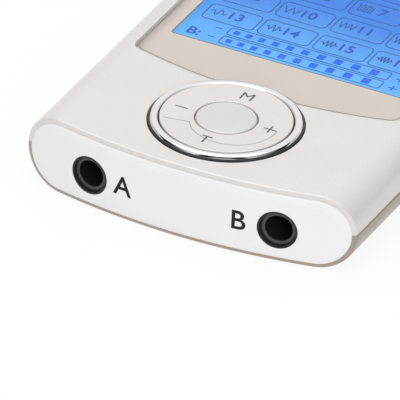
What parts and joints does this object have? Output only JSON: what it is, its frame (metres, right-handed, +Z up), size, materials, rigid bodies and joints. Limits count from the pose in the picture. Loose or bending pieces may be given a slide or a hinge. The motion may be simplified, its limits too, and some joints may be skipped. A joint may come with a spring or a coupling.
{
  "type": "tens unit",
  "caption": "Slim hand-held nerve stimulator with a backlit display under a flush window, a chrome-ringed rocking pad with a centre button, and lead sockets in a white end cap.",
  "frame": {"origin": "under the middle of the case, on the plane of its back", "axes": "+X across the width, +Y along the length away from the lead sockets, +Z up through the display"},
  "size_m": [0.054, 0.108, 0.0131],
  "materials": {
    "pearl_silver": "pearl silver metallic paint, satin gloss",
    "champagne": "beige-grey metallic paint, satin gloss",
    "white_plastic": "white moulded ABS, soft gloss",
    "clear_window": "clear hard-coated acrylic, polished",
    "mask_beige": "beige pearl screen print behind the window",
    "lcd_blue": "backlit blue liquid-crystal display with dark segments",
    "milky_plastic": "milky white light-guide plastic",
    "chrome": "mirror-bright chrome plating",
    "pad_silver": "silver metallic paint, satin",
    "button_pale": "pale silver paint, satin",
    "black_plastic": "black moulded plastic, satin",
    "silicone": "translucent grey silicone",
    "steel": "bright zinc-plated steel",
    "contact_gold": "gold-flashed contact brass",
    "board_green": "green solder mask on glass-fibre board",
    "ferrite": "dark grey ferrite, matt",
    "winding_tape": "amber polyester winding tape",
    "pouch_foil": "aluminium laminate foil, soft gloss",
    "foam": "black foam and black lead insulation, matt",
    "red_lead": "red PVC insulation",
    "label_silver": "blank silver polyester label, matt"
  },
  "bodies": {
    "case": {"upper_shell": "pearl_silver", "lower_shell": "champagne", "front_end_cap": "white_plastic", "rear_end_cap": "white_plastic", "display_window": "clear_window", "window_mask": "mask_beige", "lcd_glass": "lcd_blue", "lcd_frame": "milky_plastic", "lcd_light_guide": "milky_plastic", "backlight_bar": "white_plastic", "elastomer_strip": "silicone", "dial_ring": "chrome", "tact_switch_centre": "steel", "tact_switch_plus": "steel", "tact_switch_minus": "steel", "tact_switch_mode": "steel", "tact_switch_timer": "steel", "output_jack_a": "black_plastic", "output_jack_b": "black_plastic", "jack_a_pin": "contact_gold", "jack_b_pin": "contact_gold", "jack_a_spring": "contact_gold", "jack_b_spring": "contact_gold", "transformer_a_core": "ferrite", "transformer_b_core": "ferrite", "transformer_a_winding": "winding_tape", "transformer_b_winding": "winding_tape", "usb_port_shell": "steel", "usb_port_insulator": "black_plastic", "main_board": "board_green", "microcontroller": "black_plastic", "output_driver": "black_plastic", "charger_chip": "black_plastic", "boost_capacitor_left": "pouch_foil", "boost_capacitor_right": "pouch_foil", "boost_inductor": "ferrite", "buzzer": "black_plastic", "crystal": "steel", "battery_cell": "pouch_foil", "battery_pad": "foam", "protection_board": "board_green", "battery_connector": "white_plastic", "battery_lead_red": "red_lead", "battery_lead_black": "foam", "case_screw_front_left": "steel", "case_screw_front_right": "steel", "case_screw_rear_left": "steel", "case_screw_rear_right": "steel", "rear_label": "label_silver"},
    "pad_rocker": {"pad_actuator": "silicone"},
    "nav_pad": {"nav_disc": "pad_silver"},
    "centre_key": {"centre_button": "button_pale"}
  },
  "joints": [
    {"name": "pad_tilt_up_down", "type": "hinge", "parent": "case", "child": "pad_rocker", "pos_m": [0, -0.039, 0.011], "axis": [1, 0, 0], "range_deg": [-2.5, 2.5], "stiffness_Nm_per_rad": 0.3},
    {"name": "pad_tilt_left_right", "type": "hinge", "parent": "pad_rocker", "child": "nav_pad", "pos_m": [0, -0.039, 0.011], "axis": [0, 1, 0], "range_deg": [-2.5, 2.5], "stiffness_Nm_per_rad": 0.3},
    {"name": "centre_button_press", "type": "slide", "parent": "case", "child": "centre_key", "axis": [0, 0, -1], "range_m": [0, 0.00035], "stiffness_N_per_m": 4000}
  ]
}
